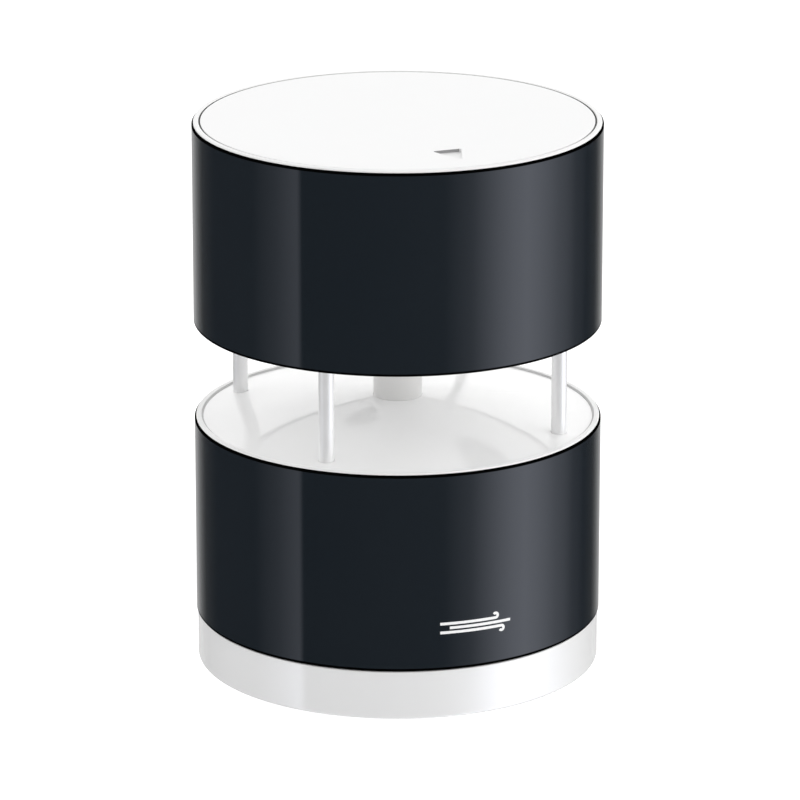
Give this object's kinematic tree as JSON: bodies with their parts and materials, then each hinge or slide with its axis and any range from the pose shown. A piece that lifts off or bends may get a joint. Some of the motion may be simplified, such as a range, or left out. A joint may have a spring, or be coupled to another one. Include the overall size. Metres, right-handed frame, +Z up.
{
  "type": "ultrasonic wind gauge",
  "caption": "Compact cylindrical ultrasonic wind gauge: two dark sleeved sections held apart by slim posts, with a white twist-off base and a tripod thread.",
  "frame": {"origin": "centre of the base's underside, where the gauge rests", "axes": "+Z up along the gauge's axis; -Y towards the front, the side of the north mark; +X to the right seen from the front"},
  "size_m": [0.085, 0.085, 0.1161],
  "materials": {
    "white_shell": "satin",
    "white_gloss": "gloss",
    "sleeve_blue_black": "gloss",
    "post_white": "satin",
    "steel": "brushed",
    "brass": "satin",
    "seal_rubber": "matte",
    "transducer_can": "satin",
    "tray_plastic": "matte",
    "cell_wrap": "gloss",
    "spring_plate": "bright",
    "board_green": "satin",
    "chip_black": "matte",
    "shield_metal": "satin",
    "led_lens": "satin",
    "connector_plastic": "matte",
    "cable_jacket": "matte"
  },
  "bodies": {
    "base": {"base_cover": "white_shell", "mount_insert": "brass"},
    "seal": {"base_seal": "seal_rubber"},
    "housing": {"lower_housing": "white_shell", "lower_sleeve": "sleeve_blue_black", "reflector_plate": "white_gloss", "post_seals": "seal_rubber", "post_washers": "steel", "post_nuts": "steel", "wire_column": "white_gloss", "column_seals": "seal_rubber", "upper_housing": "white_shell", "upper_sleeve": "sleeve_blue_black", "sensor_plate": "white_gloss", "top_cover": "white_gloss", "plate_seal": "seal_rubber", "cover_seal": "seal_rubber", "battery_contacts": "spring_plate", "battery_tray": "tray_plastic", "tray_screws": "steel", "main_board": "board_green", "board_screws": "steel", "microcontroller": "chip_black", "radio_module": "shield_metal", "antenna": "spring_plate", "crystal": "shield_metal", "capacitors": "shield_metal", "status_led": "led_lens", "board_connectors": "connector_plastic", "sensor_board": "board_green", "drive_transformers": "chip_black", "amplifier_chips": "chip_black", "sensor_cable": "cable_jacket", "support_post_1": "post_white", "support_post_2": "post_white", "support_post_3": "post_white", "support_post_4": "post_white", "transducer_1": "transducer_can", "transducer_2": "transducer_can", "transducer_3": "transducer_can", "transducer_4": "transducer_can", "transducer_sleeve_1": "seal_rubber", "transducer_sleeve_2": "seal_rubber", "transducer_sleeve_3": "seal_rubber", "transducer_sleeve_4": "seal_rubber", "battery_spring_1": "spring_plate", "battery_spring_2": "spring_plate", "battery_spring_3": "spring_plate", "battery_spring_4": "spring_plate"},
    "cell_1": {"battery_1": "cell_wrap"},
    "cell_2": {"battery_2": "cell_wrap"},
    "cell_3": {"battery_3": "cell_wrap"},
    "cell_4": {"battery_4": "cell_wrap"}
  },
  "joints": [
    {"name": "closure_rise", "type": "slide", "parent": "base", "child": "seal", "axis": [0, 0, 1], "range_m": [0, 0.0054]},
    {"name": "closure_twist", "type": "hinge", "parent": "seal", "child": "housing", "pos_m": [0, 0, 0.0062], "axis": [0, 0, 1], "range_deg": [0, 90]},
    {"name": "cell_press_1", "type": "slide", "parent": "housing", "child": "cell_1", "axis": [0, -1, 0], "range_m": [0, 0.0015], "stiffness_N_per_m": 900, "springref_m": -0.002, "deforming": ["battery_spring_1"]},
    {"name": "cell_press_2", "type": "slide", "parent": "housing", "child": "cell_2", "axis": [0, 1, 0], "range_m": [0, 0.0015], "stiffness_N_per_m": 900, "springref_m": -0.002, "deforming": ["battery_spring_2"]},
    {"name": "cell_press_3", "type": "slide", "parent": "housing", "child": "cell_3", "axis": [0, -1, 0], "range_m": [0, 0.0015], "stiffness_N_per_m": 900, "springref_m": -0.002, "deforming": ["battery_spring_3"]},
    {"name": "cell_press_4", "type": "slide", "parent": "housing", "child": "cell_4", "axis": [0, 1, 0], "range_m": [0, 0.0015], "stiffness_N_per_m": 900, "springref_m": -0.002, "deforming": ["battery_spring_4"]}
  ],
  "couplings": [
    {"joint": "closure_rise", "follows": "closure_twist", "m_per_rad": 0.0034377}
  ]
}
